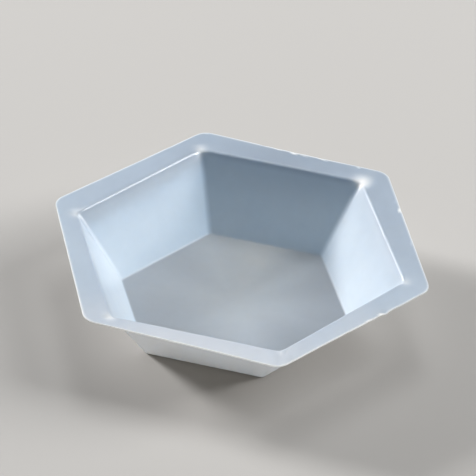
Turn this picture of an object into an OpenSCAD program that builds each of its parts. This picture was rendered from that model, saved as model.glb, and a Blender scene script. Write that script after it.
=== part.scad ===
// Weighing boat: a shallow six-sided tray, formed from one thin plastic sheet.
// A flat flange runs round the top, and six sloping walls lead down to a flat floor.
// X runs from end corner to end corner, Z is up, and the origin is the centre of the
// floor's underside, on which the boat stands.

/* [Trimmed outline] */
// Length between the two end corners, before they are rounded
corner_l = 93.2; // [84:0.1:112]
// Width between the two straight sides that run along X
width = 78; // [68:0.5:94]
// Length of each of those two sides, between its sharp corners
side_l = 46.1; // [38:0.1:54]
// Radius of the outline's corners
trim_r = 4; // [0.5:0.1:6]
// Turn of the trimmed outline against the recess, in degrees
trim_turn = -2.6; // [-4:0.05:4]
// Shift of the trimmed outline against the recess, along X
trim_shift_x = 0.9; // [-1.5:0.1:1.5]
// Shift of the trimmed outline against the recess, along Y
trim_shift_y = 0.6; // [-1.5:0.1:1.5]

/* [Recess] */
// Width of the flange, from the trimmed edge to the recess, when neither is shifted
flange_w = 5.5; // [4.5:0.1:9]
// Depth of the recess, from the flange's top to the floor's top
depth = 16.3; // [12:0.1:24]
// Distance that each wall leans in, from the flange down to the floor
wall_run = 10.1; // [5:0.1:12.5]
// Radius of the upright corners between the walls, inside the recess
wall_corner_r = 1.5; // [0.5:0.1:4]

/* [Sheet and its bends] */
// Thickness of the sheet
sheet_t = 0.3; // [0.15:0.05:1]
// Inner radius of the bend between the flange and the walls
rim_bend_r = 0.6; // [0.3:0.1:2]
// Inner radius of the bend between the walls and the floor
floor_bend_r = 0.7; // [0.3:0.1:2]

/* [Smoothness] */
// Facets in the round of each corner
corner_steps = 6; // [3:1:12]
// Facets in the round of each bend
bend_steps = 5; // [3:1:8]

/* [Hidden] */

height = depth + sheet_t;
wall_angle = atan2(depth, wall_run);
over = 2;

// The recess and the trimmed outline share one hexagon. Going round from corner 0, on +X,
// corner i lies between the sides i and i + 1 of these lists, so the last side comes twice.
// Each side has the direction that it faces, in degrees, and its distance from the middle.
end_angle = atan2(corner_l / 2 - side_l / 2, width / 2);
side_angle = [-end_angle, end_angle, 90, 180 - end_angle, 180 + end_angle, 270, 360 - end_angle];
end_d = corner_l / 2 * cos(end_angle);
side_d = [end_d, end_d, width / 2, end_d, end_d, width / 2, end_d];

// Where the sides that meet at corner i cross, after both move in by inset
function crossing(i, inset) =
    let (
        a = side_angle[i],
        b = side_angle[i + 1],
        p = side_d[i] - inset,
        q = side_d[i + 1] - inset
    )
    [p * sin(b) - q * sin(a), q * cos(a) - p * cos(b)] / sin(b - a);

// The hexagon moved in by inset and rounded to the radius r, as points at the height z
function ring(inset, r, z) = [
    for (i = [0 : 5], k = [0 : corner_steps])
        let (
            turn = side_angle[i] + (side_angle[i + 1] - side_angle[i]) * k / corner_steps,
            p = crossing(i, inset + r) + r * [cos(turn), sin(turn)]
        )
        [p.x, p.y, z]
];

// The outline as it was trimmed, at the height z
function trimmed_ring(z) = [
    for (p = ring(0, trim_r, z))
        [
            p.x * cos(trim_turn) - p.y * sin(trim_turn) + trim_shift_x,
            p.x * sin(trim_turn) + p.y * cos(trim_turn) + trim_shift_y,
            z
        ]
];

// The sheet's top face from the flange down to the floor: how far in from the trimmed
// edge, how high, and how far the face has tipped from level, in degrees
rim_r = rim_bend_r + sheet_t;
rim_arc = [
    for (k = [0 : bend_steps])
        let (tip = wall_angle * k / bend_steps)
        [
            flange_w + rim_r * (sin(tip) - tan(wall_angle / 2)),
            height - rim_r * (1 - cos(tip)),
            tip
        ]
];
floor_arc = [
    for (k = [bend_steps : -1 : 0])
        let (tip = wall_angle * k / bend_steps)
        [
            flange_w + wall_run + floor_bend_r * (tan(wall_angle / 2) - sin(tip)),
            sheet_t + floor_bend_r * (1 - cos(tip)),
            tip
        ]
];
section = concat(rim_arc, floor_arc);

// One step of the section as a ring on the sheet's top face, or, with the sheet's
// thickness as t, as the ring that lies under it on the sheet's underside
function face_ring(step, t) =
    let (
        inset = step[0],
        z = step[1],
        tip = step[2]
    )
    ring(inset - t * sin(tip), wall_corner_r + t * sin(tip), z - t * cos(tip));

// A closed solid with a flat cap at each end, whose rings of points run downwards
module skin(rings) {
    ring_n = len(rings[0]);
    last = len(rings) - 1;
    bands = [
        for (j = [0 : last - 1], k = [0 : ring_n - 1])
            let (next = (k + 1) % ring_n)
            [j * ring_n + k, j * ring_n + next, (j + 1) * ring_n + next, (j + 1) * ring_n + k]
    ];
    top_cap = [for (k = [ring_n - 1 : -1 : 0]) k];
    bottom_cap = [for (k = [0 : ring_n - 1]) last * ring_n + k];
    polyhedron(points = [for (r = rings, p = r) p], faces = concat([top_cap, bottom_cap], bands));
}

module boat() {
    outside = concat(
        [trimmed_ring(height), trimmed_ring(height - sheet_t)],
        [for (step = section) face_ring(step, sheet_t)]
    );
    // The recess runs on above the flange, so that it cuts clean through the top
    recess = concat(
        [ring(section[0][0], wall_corner_r, height + over)],
        [for (step = section) face_ring(step, 0)]
    );
    color([0.84, 0.88, 0.93])
        difference() {
            skin(outside);
            skin(recess);
        }
}

boat();
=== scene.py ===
"""A six-sided weighing boat of milky plastic sheet, and the stage that it stands on.

The sheet is formed by one Geometry Nodes tree, which weaves an outline and a section into
a closed skin. Lengths are in metres, X runs from end corner to end corner, and Z is up.
"""

import math
from types import SimpleNamespace

import bpy
from mathutils import Matrix, Vector


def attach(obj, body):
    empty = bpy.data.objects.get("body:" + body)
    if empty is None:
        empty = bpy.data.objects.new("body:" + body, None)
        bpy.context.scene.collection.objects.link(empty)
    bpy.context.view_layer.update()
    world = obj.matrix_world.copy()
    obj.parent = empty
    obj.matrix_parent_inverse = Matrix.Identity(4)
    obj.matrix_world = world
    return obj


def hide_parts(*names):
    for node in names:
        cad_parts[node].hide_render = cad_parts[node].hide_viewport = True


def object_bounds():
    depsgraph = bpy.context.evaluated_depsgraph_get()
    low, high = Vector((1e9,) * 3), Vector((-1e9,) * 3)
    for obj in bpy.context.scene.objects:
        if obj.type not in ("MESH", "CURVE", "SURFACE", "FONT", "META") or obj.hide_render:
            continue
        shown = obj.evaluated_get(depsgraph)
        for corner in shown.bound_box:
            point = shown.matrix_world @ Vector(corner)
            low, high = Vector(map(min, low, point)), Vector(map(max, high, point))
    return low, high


bl_info = {
    "name": "Weighing Boat",
    "version": (1, 0, 0),
    "blender": (4, 5, 0),
    "location": "3D View > Sidebar > Weighing Boat",
    "description": "Forms a six-sided weighing boat from thin sheet, and lights it",
    "category": "Add Mesh",
}

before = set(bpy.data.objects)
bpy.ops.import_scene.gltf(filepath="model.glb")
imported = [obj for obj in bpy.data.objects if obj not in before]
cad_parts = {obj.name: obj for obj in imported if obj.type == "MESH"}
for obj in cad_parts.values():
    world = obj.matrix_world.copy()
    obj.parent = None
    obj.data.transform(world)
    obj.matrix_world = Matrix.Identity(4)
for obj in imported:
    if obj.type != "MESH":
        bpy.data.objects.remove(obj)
CAD_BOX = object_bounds()
MM = 0.001
TAU = 2 * math.pi


# ---------------------------------------------------------------- sizes, finish and stage


class SheetSizes(bpy.types.PropertyGroup):
    """Sizes of the formed sheet"""

    corner_l: bpy.props.FloatProperty(
        name="Corner length",
        description="Length between the two end corners, before they are rounded",
        default=93.2 * MM,
        unit="LENGTH",
    )
    width: bpy.props.FloatProperty(
        name="Width",
        description="Width between the two sides that run along X",
        default=78.0 * MM,
        unit="LENGTH",
    )
    side_l: bpy.props.FloatProperty(
        name="Side length",
        description="Length of each side that runs along X, between its sharp corners",
        default=46.1 * MM,
        unit="LENGTH",
    )
    trim_r: bpy.props.FloatProperty(
        name="Trim radius",
        description="Radius of the trimmed outline's corners",
        default=4.0 * MM,
        unit="LENGTH",
    )
    trim_turn: bpy.props.FloatProperty(
        name="Trim turn",
        description="Turn of the trimmed outline against the recess",
        default=math.radians(-2.6),
        subtype="ANGLE",
    )
    trim_shift: bpy.props.FloatVectorProperty(
        name="Trim shift",
        description="Shift of the trimmed outline against the recess",
        default=(0.9 * MM, 0.6 * MM, 0.0),
        subtype="TRANSLATION",
    )
    flange_w: bpy.props.FloatProperty(
        name="Flange width",
        description="Width of the flange, when the outline is neither turned nor shifted",
        default=5.5 * MM,
        unit="LENGTH",
    )
    height: bpy.props.FloatProperty(
        name="Height",
        description="Overall height",
        default=CAD_BOX[1].z - CAD_BOX[0].z,
        unit="LENGTH",
    )
    wall_run: bpy.props.FloatProperty(
        name="Wall run",
        description="Distance that each wall leans in, from the flange down to the floor",
        default=10.1 * MM,
        unit="LENGTH",
    )
    wall_corner_r: bpy.props.FloatProperty(
        name="Wall corner radius",
        description="Radius of the upright corners between the walls",
        default=1.5 * MM,
        unit="LENGTH",
    )
    sheet_t: bpy.props.FloatProperty(
        name="Sheet thickness",
        description="Thickness of the sheet",
        default=0.3 * MM,
        unit="LENGTH",
    )
    rim_bend_r: bpy.props.FloatProperty(
        name="Rim bend",
        description="Inner radius of the bend between the flange and the walls",
        default=0.6 * MM,
        unit="LENGTH",
    )
    floor_bend_r: bpy.props.FloatProperty(
        name="Floor bend",
        description="Inner radius of the bend between the walls and the floor",
        default=0.7 * MM,
        unit="LENGTH",
    )
    cut_r: bpy.props.FloatProperty(
        name="Cut rounding",
        description="Rounding along the trimmed edge",
        default=0.05 * MM,
        unit="LENGTH",
    )
    draw_depth: bpy.props.FloatProperty(
        name="Corner draw",
        description="How far the flange is drawn down beside each corner of the recess",
        default=0.45 * MM,
        unit="LENGTH",
    )
    draw_size: bpy.props.FloatProperty(
        name="Corner draw size",
        description="Reach of that drawn patch",
        default=1.9 * MM,
        unit="LENGTH",
    )
    crease: bpy.props.FloatProperty(
        name="Crease",
        description="Depth of the creases that cross the flange at its corners",
        default=0.07 * MM,
        unit="LENGTH",
    )
    warp: bpy.props.FloatProperty(
        name="Flange warp",
        description="How far the flange's free edge wanders down from level",
        default=0.12 * MM,
        unit="LENGTH",
    )
    burr: bpy.props.FloatProperty(
        name="Burr",
        description="How far the trimmed edge is cut in, where it is ragged",
        default=0.12 * MM,
        unit="LENGTH",
    )


class SheetFinish(bpy.types.PropertyGroup):
    """Colour and gloss of the milky plastic, with the light and shade that is painted into its
    colour
    """

    milk: bpy.props.FloatVectorProperty(
        name="Milk",
        description="Colour of the sheet where it was drawn down into the recess",
        default=(0.538, 0.61, 0.69),
        subtype="COLOR",
        min=0.0,
        max=1.0,
    )
    # The flange's colour is darker than the milk, partly for the thicker sheet and partly as
    # painted shade
    flange_milk_and_shade: bpy.props.FloatVectorProperty(
        name="Flange",
        description="Colour of the flange, where the sheet is as thick as it was bought",
        default=(0.42, 0.5, 0.6),
        subtype="COLOR",
        min=0.0,
        max=1.0,
    )
    # The pale flange colour is a painted sheen, which whitens the front of the flange
    flange_sheen: bpy.props.FloatVectorProperty(
        name="Pale flange",
        description="Colour of the flange's palest side",
        default=(0.49, 0.535, 0.605),
        subtype="COLOR",
        min=0.0,
        max=1.0,
    )
    # The outer colour is painted shade, which greys the sheet's outer face
    outer_shade: bpy.props.FloatVectorProperty(
        name="Outside",
        description="Colour that greys the sheet's outer face",
        default=(0.6, 0.555, 0.505),
        subtype="COLOR",
        min=0.0,
        max=1.0,
    )
    # The cut edge's colour is partly whitened plastic and partly a painted highlight along the
    # edge, and it also paints the glow at the rim's corners
    cut_and_glow_white: bpy.props.FloatVectorProperty(
        name="Cut edge",
        description="Colour of the sheet where it was cut",
        default=(0.93, 0.97, 1.0),
        subtype="COLOR",
        min=0.0,
        max=1.0,
    )
    roughness: bpy.props.FloatProperty(
        name="Roughness",
        description="Roughness of the sheet's surface",
        default=0.33,
        min=0.0,
        max=1.0,
    )
    gloss: bpy.props.FloatProperty(
        name="Gloss",
        description="Weight of the gloss where the rim's bend slid over the mould",
        default=1.0,
        min=0.0,
        max=1.0,
    )
    # The corners' whitening is partly stress whitening and partly a painted glow
    corner_white_and_glow: bpy.props.FloatProperty(
        name="Corner whitening",
        description="How white the stretched corners of the rim are",
        default=1.0,
        min=0.0,
        max=1.0,
    )


class StageLook(bpy.types.PropertyGroup):
    """Colour of the floor and strength of the light"""

    floor: bpy.props.FloatVectorProperty(
        name="Floor",
        description="Colour of the floor",
        default=(0.53, 0.525, 0.51),
        subtype="COLOR",
        min=0.0,
        max=1.0,
    )
    left_power: bpy.props.FloatProperty(
        name="Left softbox",
        description="Power of the softbox on the camera's left",
        default=32.3,
        unit="POWER",
    )
    right_power: bpy.props.FloatProperty(
        name="Right softbox",
        description="Power of the softbox on the camera's right",
        default=15.2,
        unit="POWER",
    )
    rim_power: bpy.props.FloatProperty(
        name="Rim strip",
        description="Power of the strip that draws a bright line along the rim",
        default=11.5,
        unit="POWER",
    )
    high_power: bpy.props.FloatProperty(
        name="High softbox",
        description="Power of the softbox high above and behind the boat",
        default=2.9,
        unit="POWER",
    )
    back_power: bpy.props.FloatProperty(
        name="Back softbox",
        description="Power of the softbox behind the boat, whose sheen lies on the front flange",
        default=2.3,
        unit="POWER",
    )
    front_power: bpy.props.FloatProperty(
        name="Front strip",
        description="Power of the low strip in front, which reaches under the flange",
        default=3.3,
        unit="POWER",
    )
    room: bpy.props.FloatProperty(
        name="Room light",
        description="Brightness of the even light of the room",
        default=0.02,
    )
    backdrop: bpy.props.FloatProperty(
        name="Backdrop",
        description="Brightness of the backdrop, where it is seen",
        default=0.3,
    )


# ---------------------------------------------------------------- node trees, in short


def add(tree, kind, inputs=None, **settings):
    """One node, with its settings and its inputs, each a plain value or a node's output."""
    node = tree.nodes.new(kind)
    for name, value in settings.items():
        setattr(node, name, value)
    for key, value in (inputs or {}).items():
        socket = node.inputs[key]
        if isinstance(value, bpy.types.NodeSocket):
            tree.links.new(value, socket)
        else:
            socket.default_value = value
    return node


def calc(tree, operation, *values):
    """The result of one sum on numbers."""
    return add(tree, "ShaderNodeMath", dict(enumerate(values)), operation=operation).outputs[0]


def product(tree, first, *others):
    """The product of some numbers."""
    for other in others:
        first = calc(tree, "MULTIPLY", first, other)
    return first


def vector(tree, operation, *values):
    """The result of one sum on vectors. The second value of SCALE is a number."""
    keys = (0, "Scale") if operation == "SCALE" else range(len(values))
    node = add(tree, "ShaderNodeVectorMath", dict(zip(keys, values)), operation=operation)
    return node.outputs["Value" if operation == "DISTANCE" else "Vector"]


def parts(tree, value):
    """The three numbers of a vector."""
    return add(tree, "ShaderNodeSeparateXYZ", {0: value}).outputs


def ease(tree, value, low, high, start, end):
    """A number that eases from start to end while the value goes from low to high."""
    return add(
        tree,
        "ShaderNodeMapRange",
        {"Value": value, "From Min": low, "From Max": high, "To Min": start, "To Max": end},
        interpolation_type="SMOOTHSTEP",
    ).outputs["Result"]


def rise(tree, value, low, high):
    """A share that eases from none to all while the value goes from low to high."""
    return ease(tree, value, low, high, 0.0, 1.0)


def fall(tree, value, low, high):
    """A share that eases from all to none while the value goes from low to high."""
    return ease(tree, value, low, high, 1.0, 0.0)


def bell(tree, distance, size):
    """A smooth hump that is one at no distance and fades away over size."""
    share = calc(tree, "DIVIDE", distance, size)
    return calc(tree, "EXPONENT", product(tree, share, share, -1.0))


def noise(tree, place, scale, seed, detail=2.0):
    """Smooth noise round zero, from about -0.5 to 0.5."""
    node = add(
        tree,
        "ShaderNodeTexNoise",
        {"Vector": place, "W": seed, "Scale": scale, "Detail": detail},
        noise_dimensions="4D",
    )
    return calc(tree, "SUBTRACT", node.outputs[0], 0.5)


# ---------------------------------------------------------------- the sheet's two guide lines

# Steps in each corner and along each side of the outline
CORNER_STEPS = 10
SIDE_STEPS = 48

# Steps in the section's bends, round its cut edge, and along its seven straight stretches
BEND_STEPS = 10
CUT_STEPS = 3
STRETCH_STEPS = (14, 18, 14, 2, 14, 18, 14)

# What forming and trimming left on this boat, and the light and shade painted on it, going round
# from corner 0, and from the side that follows it. Droop and the rim's extra radius are in
# millimetres. A corner's whiteness is partly stress whitening and partly a painted glow. The last
# two rows are painted light and shade. They say how pale the flange and the floor's edge are beside
# the plain milk. The flange is painted lighter towards the front and darker at the back. The
# floor's edge is painted darker by the walls, except by the back side, where it is painted lighter
# against the shade that falls there. The rest are shares.
CORNER_WHITE_AND_GLOW = (1.0, 0.5, 0.4, 0.5, 0.2, 0.35)
CORNER_CREASE = (0.0, 0.0, 0.0, 0.3, 1.0, 0.3)
CORNER_DROOP = (0.0, 0.0, 0.0, 0.0, 0.34, 0.06)
CORNER_ROUND = (0.2, 0.0, 0.5, 0.6, 2.2, 0.6)
SIDE_DROOP = (0.18, 0.02, 0.05, 0.12, 0.14, 0.03)
SIDE_RAGGED = (1.0, 0.1, 0.4, 0.5, 0.7, 0.65)
SIDE_POLISH = (0.1, 1.0, 0.4, 0.5, 0.5, 0.0)
SIDE_PAINTED_LIGHT = (0.71, 0.9, 0.99, 1.07, 1.02, 0.85)
FOOT_PAINTED_LIGHT = (1.35, 0.84, 0.76, 0.66, 0.56, 0.78)

# How pale the floor's middle is, in the same measure: a painted pool of light
FLOOR_MIDDLE_LIGHT = 1.07

# How much of a corner's turn its crease spreads over
CREASE_SPREAD = 0.22

# Small dents pressed into the flange and its rim, in millimetres: X, Y, radius and depth
DENTS = (
    (28.6, -18.2, 1.5, 0.35),
    (32.2, -12.8, 0.8, 0.15),
    (8.3, -38.4, 0.9, 0.40),
    (13.5, -38.2, 2.2, 0.10),
    (23.0, 30.1, 0.7, 0.10),
    (-41.2, 0.4, 0.6, 0.12),
    (-26.1, -30.8, 0.8, 0.15),
    (-24.3, -29.8, 0.8, 0.13),
)

# The attributes of the outline's points. Each of the last four holds three numbers:
# - marks: how white the nearest corner is (partly a painted glow), how creased the flange is, and
#   how ragged
# - shape: the flange's droop, the rim's extra radius and the flange's painted light and shade
# - skin: the polish, whether the point is mid-corner, and how far the corner was stretched
# - floor: the painted light and shade of the floor's edge, and two noughts
OUTLINE_VALUES = ("mitre", "facing", "marks", "shape", "skin", "floor")


def mix(a, b, share):
    """The number that lies that share of the way from a to b."""
    return a + (b - a) * share


def spread(steps):
    """Shares from none to all, closer together towards both ends."""
    return [(1 - math.cos(math.pi * k / steps)) / 2 for k in range(steps + 1)]


def hexagon(sizes):
    """Each side's direction, as an angle, and its distance from the middle.

    Corner 0 is on +X, and corner i lies between entries i and i + 1, so the last side
    stands first too.
    """
    end = math.atan2(sizes.corner_l / 2 - sizes.side_l / 2, sizes.width / 2)
    end_d = sizes.corner_l / 2 * math.cos(end)
    flat_d = sizes.width / 2
    turns = [-end, end, TAU / 4, TAU / 2 - end, TAU / 2 + end, TAU * 3 / 4, TAU - end]
    return list(zip(turns, [end_d, end_d, flat_d, end_d, end_d, flat_d, end_d]))


def facing(turn):
    """The level direction at an angle."""
    return Vector((math.cos(turn), math.sin(turn), 0.0))


def corner(side_a, side_b):
    """The sharp corner between two sides, and how it moves in as both sides move in by one."""
    (a, p), (b, q) = side_a, side_b
    point = Vector((p * math.sin(b) - q * math.sin(a), q * math.cos(a) - p * math.cos(b), 0.0))
    mitre = Vector((math.sin(b) - math.sin(a), math.cos(a) - math.cos(b), 0.0))
    return point / math.sin(b - a), mitre / math.sin(b - a)


def corner_points(i, place, mitre, start, end):
    """The points of corner i, where the outline turns from the angle start to the angle end."""
    # The painted light and shade of the flange and of the floor's edge, half-way between the two
    # sides
    tone, foot = ((values[i - 1] + values[i]) / 2 for values in (SIDE_PAINTED_LIGHT, FOOT_PAINTED_LIGHT))
    points = []
    for k in range(CORNER_STEPS):
        share = k / CORNER_STEPS
        crease = CORNER_CREASE[i] * math.exp(-((share - 0.5) / CREASE_SPREAD) ** 2)
        ragged, polish = (
            mix(values[i - 1], values[i], share) for values in (SIDE_RAGGED, SIDE_POLISH)
        )
        mid_corner = float(k == CORNER_STEPS // 2)
        marks = (CORNER_WHITE_AND_GLOW[i], crease, ragged / 2)
        shape = (CORNER_DROOP[i] * MM, CORNER_ROUND[i] * MM, tone)
        skin = (polish, mid_corner, math.sin(math.pi * share))
        floor = (foot, 0.0, 0.0)
        points.append((place, mitre, facing(mix(start, end, share)), marks, shape, skin, floor))
    return points


def side_value(values, i, share, bulge):
    """A value along the side after corner i, which meets its neighbours' half-way."""
    after = (i + 1) % 6
    at_corners = mix(values[i - 1] + values[i], values[i] + values[after], share) / 2
    return mix(at_corners, values[i], bulge)


def side_points(i, start, end, turn):
    """The points of the side after corner i, which faces turn, from the corner start to end."""
    after = (i + 1) % 6
    points = []
    for share in spread(SIDE_STEPS)[:-1]:
        bulge = math.sin(math.pi * share) ** 2
        # The painted light and shade of the flange and of the floor's edge, blended along the side
        tone, foot = (side_value(values, i, share, bulge) for values in (SIDE_PAINTED_LIGHT, FOOT_PAINTED_LIGHT))
        droop = mix(mix(CORNER_DROOP[i], CORNER_DROOP[after], share), SIDE_DROOP[i], bulge)
        rounding = mix(CORNER_ROUND[i], CORNER_ROUND[after], share)
        white = CORNER_WHITE_AND_GLOW[i if share < 0.5 else after]
        marks = (white, 0.0, SIDE_RAGGED[i] * (0.5 + bulge / 2))
        shape = (droop * MM, rounding * MM, tone)
        skin, floor = (SIDE_POLISH[i], 0.0, 0.0), (foot, 0.0, 0.0)
        place, mitre = (a.lerp(b, share) for a, b in zip(start, end))
        points.append((place, mitre, facing(turn), marks, shape, skin, floor))
    return points


def outline(sizes):
    """The points round the boat, each with its attributes, which OUTLINE_VALUES lists."""
    sides = hexagon(sizes)
    corners = [corner(sides[i], sides[i + 1]) for i in range(6)]
    points = []
    for i, here in enumerate(corners):
        start, end = sides[i][0], sides[i + 1][0]
        points += corner_points(i, *here, start, end)
        points += side_points(i, here, corners[(i + 1) % 6], end)
    return points


def run(start, end, steps):
    """Points along a straight stretch, closer together towards its ends."""
    return [start.lerp(end, share) for share in spread(steps)]


def bend(before, at, after, radius, steps):
    """Points of the arc that rounds the corner at a point of a line."""
    back, on = (before - at).normalized(), (after - at).normalized()
    half = back.angle(on) / 2
    middle = at + (back + on).normalized() * radius / math.sin(half)
    spoke = at + back * radius / math.tan(half) - middle
    axis = spoke.cross(on)
    sweep = math.pi - 2 * half
    return [middle + Matrix.Rotation(sweep * k / steps, 3, axis) @ spoke for k in range(steps + 1)]


def bend_reach(sizes):
    """How far each bend reaches from its sharp corner, for a radius of one."""
    return math.tan(math.atan2(sizes.height - sizes.sheet_t, sizes.wall_run) / 2)


def section(sizes, centre):
    """The sheet's section, with the inset along X and the height along Z.

    It starts at the centre, runs out over the top face, round the cut edge, and back below.
    """
    t, flange, top = sizes.sheet_t, sizes.flange_w, sizes.height
    foot = flange + sizes.wall_run
    under = t * bend_reach(sizes)
    turns = [
        (foot, t, sizes.floor_bend_r, BEND_STEPS),
        (flange, top, sizes.rim_bend_r + t, BEND_STEPS),
        (0.0, top, sizes.cut_r, CUT_STEPS),
        (0.0, top - t, sizes.cut_r, CUT_STEPS),
        (flange - under, top - t, sizes.rim_bend_r, BEND_STEPS),
        (foot - under, 0.0, sizes.floor_bend_r + t, BEND_STEPS),
    ]
    line = [Vector((x, 0.0, z)) for x, z, *_ in ((centre, t), *turns, (centre, 0.0))]
    points, here = [], line[0]
    for i, (_, _, radius, steps) in enumerate(turns):
        arc = bend(line[i], line[i + 1], line[i + 2], radius, steps)
        points += run(here, arc[0], STRETCH_STEPS[i])[:-1] + arc[:-1]
        here = arc[-1]
    return points + run(here, line[-1], STRETCH_STEPS[-1])


def guide_mesh(sizes, centre):
    """A mesh that holds both guide lines: the outline's points, then the section's."""
    around, down = outline(sizes), section(sizes, centre)
    mesh = bpy.data.meshes.new("guides")
    mesh.from_pydata([point[0] for point in around] + down, [], [])
    for column, name in enumerate(OUTLINE_VALUES, 1):
        values = [x for point in around for x in point[column]] + [0.0] * 3 * len(down)
        mesh.attributes.new(name, "FLOAT_VECTOR", "POINT").data.foreach_set("vector", values)
    return mesh, len(around), len(down)


# ---------------------------------------------------------------- the tree that forms the sheet

TREE_INPUTS = (
    ("Around", "NodeSocketInt"),
    ("Down", "NodeSocketInt"),
    ("Centre", "NodeSocketFloat"),
    ("Trim radius", "NodeSocketFloat"),
    ("Trim turn", "NodeSocketFloat"),
    ("Trim shift", "NodeSocketVector"),
    ("Flange", "NodeSocketFloat"),
    ("Rim", "NodeSocketFloat"),
    ("Floor", "NodeSocketFloat"),
    ("Wall corner radius", "NodeSocketFloat"),
    ("Corner draw", "NodeSocketFloat"),
    ("Corner draw size", "NodeSocketFloat"),
    ("Crease", "NodeSocketFloat"),
    ("Warp", "NodeSocketFloat"),
    ("Burr", "NodeSocketFloat"),
    ("Seed", "NodeSocketFloat"),
    ("Material", "NodeSocketMaterial"),
)

# The values that the tree stores on the sheet for its material. The whitening is partly a painted
# glow, the thinning partly painted shade, the paleness a painted sheen, and the tone painted light
# and shade.
SHEET_VALUES = ("cut", "whitened_and_glow", "thinned_and_shaded", "pale", "polished", "tone", "stretched", "outside")

# Two insets between which the cut's burr dies away, and two between which its nicks do
BURR_BAND = (0.1 * MM, 0.45 * MM)
NICK_BAND = (0.3 * MM, 1.1 * MM)

# How strong the cut's burr is where a nick starts, and where the nick is whole
NICK_START, NICK_WHOLE = 0.03, 0.08

# How many waves to the metre the flange's warp and the cut's burr have
WARP_SCALE = 40.0
BURR_SCALE = 500.0

# How much the warp's waves are raised, so that more than half of the edge strays
WARP_RAISED = 0.1

# How the droop grows towards the flange's free edge
DROOP_POWER = 1.5

# How far past the rim the flange's look (its colour partly painted shade), the whitening (partly a
# painted glow) and the thinning (partly painted shade) go
FLANGE_LOOK_DOWN = 1.0 * MM
WHITENED_AND_GLOW_DOWN = 1.2 * MM
THINNED_AND_SHADED_DOWN = 6.0 * MM

# How pale a clean cut is, and how much paler raggedness and the flange's painted sheen make it. The
# cut's paleness is partly whitened plastic and partly a painted highlight along the edge.
CLEAN_CUT = 0.35
RAGGED_CUT = 0.5
SHEEN_CUT = 0.4

# How wide the marks are that the mould left along the rim's bend and along the floor's
RIM_MARK = 0.9 * MM
FLOOR_MARK = 1.5 * MM

# Two distances from a corner of the recess, between which the rim's polish starts
POLISH_START = (0.4 * MM, 1.8 * MM)

# Two levels of the flange's painted light, between which it goes from its own colour to the pale
# one, a painted sheen
SHEEN_LEVELS = (0.98, 1.07)

# How far before the floor its painted light and shade start
FLOOR_LIGHT_START = 0.7 * MM


def attribute(tree, name):
    """A vector attribute of the points that a field is read on."""
    inputs = {"Name": name}
    return add(tree, "GeometryNodeInputNamedAttribute", inputs, data_type="FLOAT_VECTOR").outputs[0]


def position(tree):
    """The position of the points that a field is read on."""
    return add(tree, "GeometryNodeInputPosition").outputs[0]


def flattened(tree, place):
    """A place brought down to the level of the table."""
    return vector(tree, "MULTIPLY", place, (1.0, 1.0, 0.0))


def guide_value(tree, guides, source, index):
    """The value that a field has at one guide point."""
    return add(
        tree,
        "GeometryNodeSampleIndex",
        {"Geometry": guides, "Value": source, "Index": index},
        data_type="FLOAT_VECTOR",
    ).outputs[0]


def read_guides(tree, given):
    """What the guide lines say about each point of the grid, as a set of named fields."""
    guides = given["Guides"]
    index = add(tree, "GeometryNodeInputIndex").outputs[0]
    column = calc(tree, "FLOOR", calc(tree, "DIVIDE", index, given["Down"]))
    row = calc(tree, "SUBTRACT", index, product(tree, column, given["Down"]))
    column = calc(tree, "MODULO", column, given["Around"])
    step = guide_value(tree, guides, position(tree), calc(tree, "ADD", row, given["Around"]))
    mitre, way, marks, shape, skin, floor = (
        guide_value(tree, guides, attribute(tree, name), column) for name in OUTLINE_VALUES
    )
    point = SimpleNamespace(mitre=mitre, way=way)
    point.place = guide_value(tree, guides, position(tree), column)
    point.inset, _, point.z = parts(tree, step)
    point.white, point.crease, point.ragged = parts(tree, marks)
    # The shape's third number is the flange's painted light and shade
    point.droop, point.rounding, point.tone = parts(tree, shape)
    point.polish, _, point.stretched = parts(tree, skin)
    # The floor's painted light and shade at its edge
    point.foot = parts(tree, floor)["X"]
    point.outside = calc(tree, "GREATER_THAN", row, product(tree, given["Down"], 0.5))
    point.from_cut = calc(tree, "MINIMUM", calc(tree, "DIVIDE", point.inset, given["Rim"]), 1.0)
    point.over_floor = calc(tree, "SUBTRACT", point.inset, given["Floor"])
    floor_reach = calc(tree, "SUBTRACT", given["Centre"], given["Floor"])
    inward = calc(tree, "MAXIMUM", calc(tree, "DIVIDE", point.over_floor, floor_reach), 0.0)
    point.from_centre = calc(tree, "SUBTRACT", 1.0, inward)
    return point


def rounded(tree, point, inset, radius):
    """A point of the hexagon moved in by inset and rounded to radius."""
    inward = vector(tree, "SCALE", point.mitre, calc(tree, "ADD", inset, radius))
    outward = vector(tree, "SCALE", point.way, radius)
    return vector(tree, "ADD", vector(tree, "SUBTRACT", point.place, inward), outward)


def formed_place(tree, given, point):
    """Where each point of a faultless sheet lies."""
    inset = calc(tree, "MINIMUM", calc(tree, "MAXIMUM", point.inset, given["Rim"]), given["Floor"])
    rounding = product(tree, point.rounding, fall(tree, inset, given["Rim"], given["Floor"]))
    corner_r = calc(tree, "ADD", given["Wall corner radius"], rounding)
    formed = rounded(tree, point, inset, corner_r)
    trimmed = add(
        tree,
        "ShaderNodeVectorRotate",
        {"Vector": rounded(tree, point, 0.0, given["Trim radius"]), "Angle": given["Trim turn"]},
        rotation_type="Z_AXIS",
    ).outputs[0]
    trimmed = vector(tree, "ADD", trimmed, given["Trim shift"])
    ends = {"Factor": point.from_cut, 4: trimmed, 5: formed}
    plan = add(tree, "ShaderNodeMix", ends, data_type="VECTOR").outputs[1]
    lift = add(tree, "ShaderNodeCombineXYZ", {"Z": point.z}).outputs[0]
    return vector(tree, "ADD", vector(tree, "SCALE", plan, point.from_centre), lift)


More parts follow.
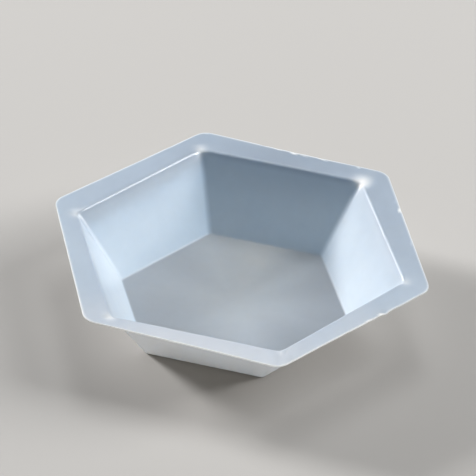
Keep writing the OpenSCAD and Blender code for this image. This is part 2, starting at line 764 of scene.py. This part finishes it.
def corner_distance(tree, given):
    """How far each point is from the nearest upper corner of the recess, as seen from above."""
    others = calc(tree, "LESS_THAN", parts(tree, attribute(tree, "skin"))["Y"], 0.5)
    corners = {"Geometry": given["Guides"], "Selection": others}
    marks = add(tree, "GeometryNodeDeleteGeometry", corners).outputs[0]
    inward = vector(tree, "SCALE", attribute(tree, "mitre"), given["Flange"])
    place = vector(tree, "SUBTRACT", position(tree), inward)
    marks = add(tree, "GeometryNodeSetPosition", {"Geometry": marks, "Position": place}).outputs[0]
    return add(
        tree,
        "GeometryNodeProximity",
        {0: marks, "Sample Position": flattened(tree, position(tree))},
        target_element="POINTS",
    ).outputs["Distance"]


def dents(tree, level):
    """The depth of the small dents."""
    depth = 0.0
    for x, y, radius, deep in DENTS:
        distance = vector(tree, "DISTANCE", level, (x * MM, y * MM, 0.0))
        depth = calc(tree, "MULTIPLY_ADD", bell(tree, distance, radius * MM), deep * MM, depth)
    return depth


def read_faults(tree, given, point):
    """Adds to a point's fields where the faults of forming and trimming lie.

    A whiter corner was drawn down harder, so its strength goes with its whiteness.
    """
    point.level = flattened(tree, position(tree))
    point.from_corner = corner_distance(tree, given)
    point.strength = calc(tree, "MULTIPLY_ADD", point.white, 0.5, 0.5)
    reach = product(tree, given["Corner draw size"], point.strength)
    point.drawn = bell(tree, point.from_corner, reach)
    point.at_cut = fall(tree, point.inset, *BURR_BAND)
    point.burr = noise(tree, point.level, BURR_SCALE, given["Seed"], detail=3.0)
    point.nick = product(
        tree,
        rise(tree, product(tree, point.burr, point.ragged), NICK_START, NICK_WHOLE),
        fall(tree, point.inset, *NICK_BAND),
    )


def faults(tree, given, point):
    """How far the faults move each point: down where the sheet sinks, in where it is cut."""
    inset = point.inset
    on_flange = fall(tree, inset, given["Rim"], given["Flange"])
    overhang = calc(tree, "SUBTRACT", 1.0, point.from_cut)
    stray = calc(tree, "ADD", noise(tree, point.level, WARP_SCALE, given["Seed"]), WARP_RAISED)
    above_floor = fall(tree, inset, given["Flange"], given["Floor"])
    sink = product(tree, point.drawn, given["Corner draw"], point.strength)
    for amount in (
        product(tree, calc(tree, "POWER", overhang, DROOP_POWER), point.droop),
        product(tree, point.crease, on_flange, given["Crease"]),
        product(tree, calc(tree, "MAXIMUM", stray, 0.0), overhang, given["Warp"]),
        product(tree, dents(tree, point.level), above_floor),
    ):
        sink = calc(tree, "ADD", sink, amount)
    jag = calc(tree, "ADD", calc(tree, "ABSOLUTE", point.burr), point.nick)
    push = product(tree, jag, given["Burr"], point.at_cut, -1.0)
    down = add(tree, "ShaderNodeCombineXYZ", {"Z": product(tree, sink, -1.0)}).outputs[0]
    return vector(tree, "ADD", down, vector(tree, "SCALE", point.way, push))


def skin_values(tree, given, point):
    """The values of each point for the material, in the order of SHEET_VALUES."""
    inset, flange = point.inset, given["Flange"]
    formed = rise(tree, inset, given["Rim"], calc(tree, "ADD", flange, FLANGE_LOOK_DOWN))
    # A share of painted sheen, on the flange's palest side
    pale = rise(tree, point.tone, *SHEEN_LEVELS)

    # The cut's paleness is partly whitened plastic and partly a painted highlight along the edge,
    # paler still under the flange's painted sheen
    frayed = calc(tree, "MULTIPLY_ADD", point.ragged, RAGGED_CUT, CLEAN_CUT)
    frayed = calc(tree, "MULTIPLY_ADD", pale, SHEEN_CUT, frayed)
    cut = calc(tree, "MAXIMUM", product(tree, point.at_cut, frayed), point.nick)

    # The whitening at the rim's corners is partly stress whitening and partly a painted glow
    upper_wall = fall(tree, inset, flange, calc(tree, "ADD", flange, WHITENED_AND_GLOW_DOWN))
    whitened_and_glow = product(tree, point.drawn, point.white, upper_wall)

    # The thinning brings the flange's colour down the top of the walls: partly thicker sheet,
    # partly painted shade
    down_wall = rise(tree, inset, flange, calc(tree, "ADD", flange, THINNED_AND_SHADED_DOWN))
    thinned_and_shaded = product(tree, calc(tree, "ADD", formed, down_wall), 0.5)

    at_rim = bell(tree, calc(tree, "SUBTRACT", inset, flange), RIM_MARK)
    away = rise(tree, point.from_corner, *POLISH_START)
    polished = product(tree, at_rim, point.polish, away)

    # Painted light and shade on the floor: a painted pool of light in its middle, painted shade by
    # the walls, and painted light by the back wall against the shade that falls there
    foot = calc(tree, "SUBTRACT", point.foot, FLOOR_MIDDLE_LIGHT)
    by_wall = rise(tree, point.from_centre, 0.0, 1.0)
    floor_light = calc(tree, "MULTIPLY_ADD", foot, by_wall, FLOOR_MIDDLE_LIGHT - 1)
    on_floor = rise(tree, point.over_floor, -FLOOR_LIGHT_START, 0.0)
    floor_light = calc(tree, "MULTIPLY_ADD", floor_light, on_floor, 1.0)
    # The flange's painted light and shade fades out over the rim, and the floor's is multiplied in
    to_milk = product(tree, calc(tree, "SUBTRACT", 1.0, point.tone), formed)
    tone = product(tree, calc(tree, "ADD", to_milk, point.tone), floor_light)

    at_floor = bell(tree, point.over_floor, FLOOR_MARK)
    dull = calc(tree, "MAXIMUM", product(tree, at_rim, 0.5), at_floor)
    dull = product(tree, dull, calc(tree, "SUBTRACT", 1.0, point.polish))
    stretched = calc(tree, "MAXIMUM", product(tree, point.stretched, formed), dull)

    return cut, whitened_and_glow, thinned_and_shaded, pale, polished, tone, stretched, point.outside


def sheet_tree():
    """The Geometry Nodes tree that weaves the outline and the section into a closed sheet."""
    tree = bpy.data.node_groups.new("Formed sheet", "GeometryNodeTree")
    tree.interface.new_socket("Guides", in_out="INPUT", socket_type="NodeSocketGeometry")
    for name, kind in TREE_INPUTS:
        tree.interface.new_socket(name, in_out="INPUT", socket_type=kind)
    tree.interface.new_socket("Sheet", in_out="OUTPUT", socket_type="NodeSocketGeometry")
    given = add(tree, "NodeGroupInput").outputs

    def pass_on(sheet, kind, inputs):
        """The sheet after one more node, whose first input takes it."""
        return add(tree, kind, {0: sheet, **inputs}).outputs[0]

    columns = calc(tree, "ADD", given["Around"], 1.0)
    grid = {"Vertices X": columns, "Vertices Y": given["Down"]}
    sheet = add(tree, "GeometryNodeMeshGrid", grid).outputs["Mesh"]
    point = read_guides(tree, given)
    place = formed_place(tree, given, point)
    sheet = pass_on(sheet, "GeometryNodeSetPosition", {"Position": place})
    read_faults(tree, given, point)
    offset = faults(tree, given, point)
    sheet = pass_on(sheet, "GeometryNodeSetPosition", {"Offset": offset})
    for name, value in zip(SHEET_VALUES, skin_values(tree, given, point)):
        stored = {"Name": name, "Value": value}
        sheet = pass_on(sheet, "GeometryNodeStoreNamedAttribute", stored)
    sheet = pass_on(sheet, "GeometryNodeMergeByDistance", {"Distance": 0.001 * MM})
    sheet = pass_on(sheet, "GeometryNodeFlipFaces", {})
    sheet = pass_on(sheet, "GeometryNodeSetShadeSmooth", {})
    sheet = pass_on(sheet, "GeometryNodeRealizeInstances", {})
    sheet = pass_on(sheet, "GeometryNodeSetMaterial", {"Material": given["Material"]})
    add(tree, "NodeGroupOutput", {"Sheet": sheet})
    return tree


def set_inputs(modifier, values):
    """Sets a Geometry Nodes modifier's inputs, which go by their sockets' identifiers."""
    for item in modifier.node_group.interface.items_tree:
        if item.item_type == "SOCKET" and item.in_out == "INPUT" and item.name in values:
            modifier[item.identifier] = values[item.name]


# ---------------------------------------------------------------- materials

# The sheet's large and small clouds, each with its waves to the metre and its seed
CLOUDS = ((55.0, 0.0), (380.0, 2.0))

# How much the clouds change the sheet's tone
CLOUD_DEPTH = 0.13

# How many waves to the metre the rougher patches and the grain have
PATCH_SCALE = 120.0
GRAIN_SCALE = 900.0

# How much of the sheet's outer face takes the outer colour, a painted shade that greys it
OUTSIDE_SHADE_SHARE = 0.6

# How much rougher the sheet is in patches, and where it was cut or stretched
PATCH_ROUGHNESS = 0.1
WORN_ROUGHNESS = 0.2

# How much less light goes into the sheet where it is white
WHITE_SOLID = 0.8


def plain_material(name):
    """A new material with its Principled shader."""
    material = bpy.data.materials.new(name)
    material.use_nodes = True
    return material, material.node_tree, material.node_tree.nodes["Principled BSDF"]


def opaque(colour):
    """A colour with its opacity, as a colour socket takes it."""
    return (*colour, 1.0)


def blend(tree, share, a, b):
    """The colour that lies that share of the way from a to b."""
    return add(tree, "ShaderNodeMix", {"Factor": share, 6: a, 7: b}, data_type="RGBA").outputs[2]


def milky_plastic(finish):
    """Thin milky polystyrene, which scatters light, and whitens where it is cut or stretched. Its
    colour also holds painted light: a painted glow at the rim's corners and along the cut, a
    painted sheen on the front flange, painted shade on the flange, the top of the walls and the
    outer face, and painted light and shade on the floor.
    """
    material, tree, shader = plain_material("milky_plastic")
    at = add(tree, "ShaderNodeTexCoord").outputs["Object"]
    cut, whitened_and_glow, thinned_and_shaded, pale, polished, tone, stretched, outside = (
        add(tree, "ShaderNodeAttribute", attribute_name=name).outputs["Fac"]
        for name in SHEET_VALUES
    )

    # The flange's colour is partly painted shade, and its pale side a painted sheen. The thinning
    # carries that colour, with its painted shade, down the top of the walls
    flange = blend(tree, pale, opaque(finish.flange_milk_and_shade), opaque(finish.flange_sheen))
    milk = blend(tree, thinned_and_shaded, flange, opaque(finish.milk))
    # Painted shade greys the outer face
    milk = blend(tree, product(tree, outside, OUTSIDE_SHADE_SHARE), milk, opaque(finish.outer_shade))
    large, small = (noise(tree, at, scale, seed) for scale, seed in CLOUDS)
    cloud = calc(tree, "ADD", large, product(tree, small, 0.5))
    # The clouds are the sheet's own random tone. The tone attribute multiplies in the painted light
    # and shade
    tone = product(tree, calc(tree, "MULTIPLY_ADD", cloud, CLOUD_DEPTH, 1.0), tone)
    # The whitened corners and the cut are partly whitened plastic and partly a painted glow
    white = calc(tree, "MAXIMUM", product(tree, whitened_and_glow, finish.corner_white_and_glow), cut)
    colour = blend(tree, white, vector(tree, "SCALE", milk, tone), opaque(finish.cut_and_glow_white))

    patches = noise(tree, at, PATCH_SCALE, 0.0)
    rough = calc(tree, "MULTIPLY_ADD", patches, PATCH_ROUGHNESS, finish.roughness)
    rough = calc(tree, "MULTIPLY_ADD", calc(tree, "MAXIMUM", cut, stretched), WORN_ROUGHNESS, rough)
    grain = noise(tree, at, GRAIN_SCALE, 0.0, detail=3.0)
    bump = add(tree, "ShaderNodeBump", {"Height": grain, "Distance": 0.006 * MM, "Strength": 0.35})
    depth = calc(tree, "MULTIPLY_ADD", white, -WHITE_SOLID, 1.0)

    tree.links.new(colour, shader.inputs["Base Color"])
    tree.links.new(rough, shader.inputs["Roughness"])
    tree.links.new(bump.outputs[0], shader.inputs["Normal"])
    tree.links.new(depth, shader.inputs["Subsurface Weight"])
    tree.links.new(product(tree, polished, finish.gloss), shader.inputs["Coat Weight"])
    shader.inputs["IOR"].default_value = 1.59
    shader.inputs["Subsurface Radius"].default_value = (0.9, 1.0, 1.1)
    shader.inputs["Subsurface Scale"].default_value = 0.9 * MM
    shader.inputs["Coat Roughness"].default_value = 0.13
    return material


def floor_material(look):
    """A matt pale floor, with the faintest mottling."""
    material, tree, shader = plain_material("pale_floor")
    at = add(tree, "ShaderNodeTexCoord").outputs["Object"]
    mottling = 0.015
    dark, light = ([c * tone for c in look.floor] for tone in (1 - mottling, 1 + mottling))
    cloud = calc(tree, "ADD", noise(tree, at, scale=3.0, seed=0.0), 0.5)
    colour = blend(tree, cloud, opaque(dark), opaque(light))
    tree.links.new(colour, shader.inputs["Base Color"])
    shader.inputs["Roughness"].default_value = 0.9
    shader.inputs["Specular IOR Level"].default_value = 0.1
    return material


# ---------------------------------------------------------------- the boat


class BOAT_OT_form_sheet(bpy.types.Operator):
    """Form the weighing boat from its sheet"""

    bl_idname = "weighing_boat.form_sheet"
    bl_label = "Form sheet"

    def execute(self, context):
        sizes = context.scene.boat_sizes
        centre = sizes.width / 2
        guides, around, down = guide_mesh(sizes, centre)
        blank = bpy.data.objects.new("blank", guides)
        context.scene.collection.objects.link(blank)
        reach = bend_reach(sizes)
        modifier = blank.modifiers.new("Formed sheet", "NODES")
        modifier.node_group = sheet_tree()
        set_inputs(
            modifier,
            {
                "Around": around,
                "Down": down,
                "Centre": centre,
                "Trim radius": sizes.trim_r,
                "Trim turn": sizes.trim_turn,
                "Trim shift": sizes.trim_shift,
                "Flange": sizes.flange_w,
                "Rim": sizes.flange_w - (sizes.rim_bend_r + sizes.sheet_t) * reach,
                "Floor": sizes.flange_w + sizes.wall_run + sizes.floor_bend_r * reach,
                "Wall corner radius": sizes.wall_corner_r,
                "Corner draw": sizes.draw_depth,
                "Corner draw size": sizes.draw_size,
                "Crease": sizes.crease,
                "Warp": sizes.warp,
                "Burr": sizes.burr,
                "Seed": 4.0,
                "Material": milky_plastic(context.scene.boat_finish),
            },
        )
        depsgraph = context.evaluated_depsgraph_get()
        mesh = bpy.data.meshes.new_from_object(
            blank.evaluated_get(depsgraph), preserve_all_data_layers=True, depsgraph=depsgraph
        )
        boat = bpy.data.objects.new("milky_boat", mesh)
        context.scene.collection.objects.link(boat)
        bpy.data.objects.remove(blank)
        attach(boat, "root")
        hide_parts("boat")
        return {"FINISHED"}


# ---------------------------------------------------------------- the stage

CAMERA_AZIMUTH = math.radians(-46.75)
CAMERA_ELEVATION = math.radians(36.41)
CAMERA_ROLL = math.radians(4.18)
CAMERA_DISTANCE = 872.6 * MM
CAMERA_TARGET = Vector((2.1, 2.63, 16.6)) * MM
CAMERA_LENS = 287.7

# Tints of the lamps that aren't plain white, from the faintest
PALE_WARM = (1.0, 0.98, 0.975)
WARM = (1.0, 0.965, 0.95)
DEEP_WARM = (1.0, 0.94, 0.85)


def direction(azimuth, elevation):
    """The way out to an azimuth and elevation, with azimuth 0 towards -Y, in radians."""
    level = math.cos(elevation)
    return Vector((math.sin(azimuth) * level, -math.cos(azimuth) * level, math.sin(elevation)))


def facing_matrix(place, back, roll):
    """The matrix of a camera or lamp at a place, whose back looks along back."""
    right = Vector((0.0, 0.0, 1.0)).cross(back).normalized()
    up = back.cross(right)
    x = right * math.cos(roll) + up * math.sin(roll)
    y = up * math.cos(roll) - right * math.sin(roll)
    return Matrix.Translation(place) @ Matrix((x, y, back)).transposed().to_4x4()


def softbox(name, azimuth, elevation, distance, size, power, roll=0.0, tint=(1.0, 1.0, 1.0)):
    """A soft lamp that looks at the boat, with its angles in degrees.

    Azimuth 0 is the camera's side, and it grows to the right.
    """
    lamp = bpy.data.lights.new(name, "AREA")
    lamp.shape = "RECTANGLE"
    lamp.size, lamp.size_y = size
    lamp.energy = power
    lamp.color = tint
    obj = bpy.data.objects.new(name, lamp)
    back = direction(CAMERA_AZIMUTH + math.radians(azimuth), math.radians(elevation))
    obj.matrix_world = facing_matrix(back * distance, back, math.radians(roll))
    bpy.context.scene.collection.objects.link(obj)


def room(look):
    """The even light of the room, which shows as a pale backdrop."""
    world = bpy.data.worlds.new("room")
    world.use_nodes = True
    tree = world.node_tree
    path = add(tree, "ShaderNodeLightPath").outputs
    seen = calc(tree, "MAXIMUM", path["Is Camera Ray"], path["Is Glossy Ray"])
    seen = calc(tree, "MAXIMUM", seen, path["Is Transmission Ray"])
    strength = calc(tree, "MULTIPLY_ADD", seen, look.backdrop - look.room, look.room)
    tree.links.new(strength, tree.nodes["Background"].inputs["Strength"])
    tree.nodes["Background"].inputs["Color"].default_value = (1.0, 1.0, 1.0, 1.0)
    return world


class BOAT_OT_set_stage(bpy.types.Operator):
    """Set the floor, the lamps and the camera"""

    bl_idname = "weighing_boat.set_stage"
    bl_label = "Set stage"

    def execute(self, context):
        scene, look = context.scene, context.scene.boat_stage
        mesh = bpy.data.meshes.new("floor")
        half = 3.0
        corners = [(-half, -half, 0.0), (half, -half, 0.0), (half, half, 0.0), (-half, half, 0.0)]
        mesh.from_pydata(corners, [], [(0, 1, 2, 3)])
        mesh.materials.append(floor_material(look))
        floor = bpy.data.objects.new("floor", mesh)
        scene.collection.objects.link(floor)

        # Each lamp's azimuth and elevation come first, then its distance, its size and its power
        softbox("left_softbox", -117.5, 21, 1.6, (0.34, 0.34), look.left_power, tint=PALE_WARM)
        softbox("right_softbox", 106, 21, 1.6, (0.48, 0.48), look.right_power, tint=WARM)
        softbox("rim_softbox", 104, 42, 1.6, (1.0, 0.56), look.rim_power, roll=45)
        softbox("high_softbox", 180, 66, 1.6, (0.6, 0.6), look.high_power)
        softbox("back_softbox", 180, 52, 1.6, (0.4, 0.4), look.back_power)
        softbox("front_strip", -8, 0.5, 1.0, (0.6, 0.014), look.front_power, tint=DEEP_WARM)
        scene.world = room(look)

        camera = bpy.data.objects.new("camera", bpy.data.cameras.new("camera"))
        camera.data.lens = CAMERA_LENS
        camera.data.sensor_width = 36.0
        camera.data.clip_start, camera.data.clip_end = 0.05, 20.0
        back = direction(CAMERA_AZIMUTH, CAMERA_ELEVATION)
        place = CAMERA_TARGET + back * CAMERA_DISTANCE
        camera.matrix_world = facing_matrix(place, back, CAMERA_ROLL)
        scene.collection.objects.link(camera)
        scene.camera = camera
        scene.view_settings.view_transform = "Standard"
        return {"FINISHED"}


# ---------------------------------------------------------------- add-on


class BOAT_PT_panel(bpy.types.Panel):
    """The weighing boat's pieces"""

    bl_idname = "BOAT_PT_panel"
    bl_label = "Weighing Boat"
    bl_space_type = "VIEW_3D"
    bl_region_type = "UI"
    bl_category = "Weighing Boat"

    def draw(self, context):
        scene = context.scene
        for group in (scene.boat_sizes, scene.boat_finish, scene.boat_stage):
            box = self.layout.box()
            for name in group.bl_rna.properties.keys():
                if name not in ("rna_type", "name"):
                    box.prop(group, name)
        self.layout.operator(BOAT_OT_form_sheet.bl_idname)
        self.layout.operator(BOAT_OT_set_stage.bl_idname)


CLASSES = (SheetSizes, SheetFinish, StageLook, BOAT_OT_form_sheet, BOAT_OT_set_stage, BOAT_PT_panel)


def register():
    for cls in CLASSES:
        bpy.utils.register_class(cls)
    bpy.types.Scene.boat_sizes = bpy.props.PointerProperty(type=SheetSizes)
    bpy.types.Scene.boat_finish = bpy.props.PointerProperty(type=SheetFinish)
    bpy.types.Scene.boat_stage = bpy.props.PointerProperty(type=StageLook)


def unregister():
    del bpy.types.Scene.boat_sizes
    del bpy.types.Scene.boat_finish
    del bpy.types.Scene.boat_stage
    for cls in reversed(CLASSES):
        bpy.utils.unregister_class(cls)


def main():
    register()
    bpy.ops.weighing_boat.form_sheet()
    bpy.ops.weighing_boat.set_stage()


if __name__ == "__main__":
    main()
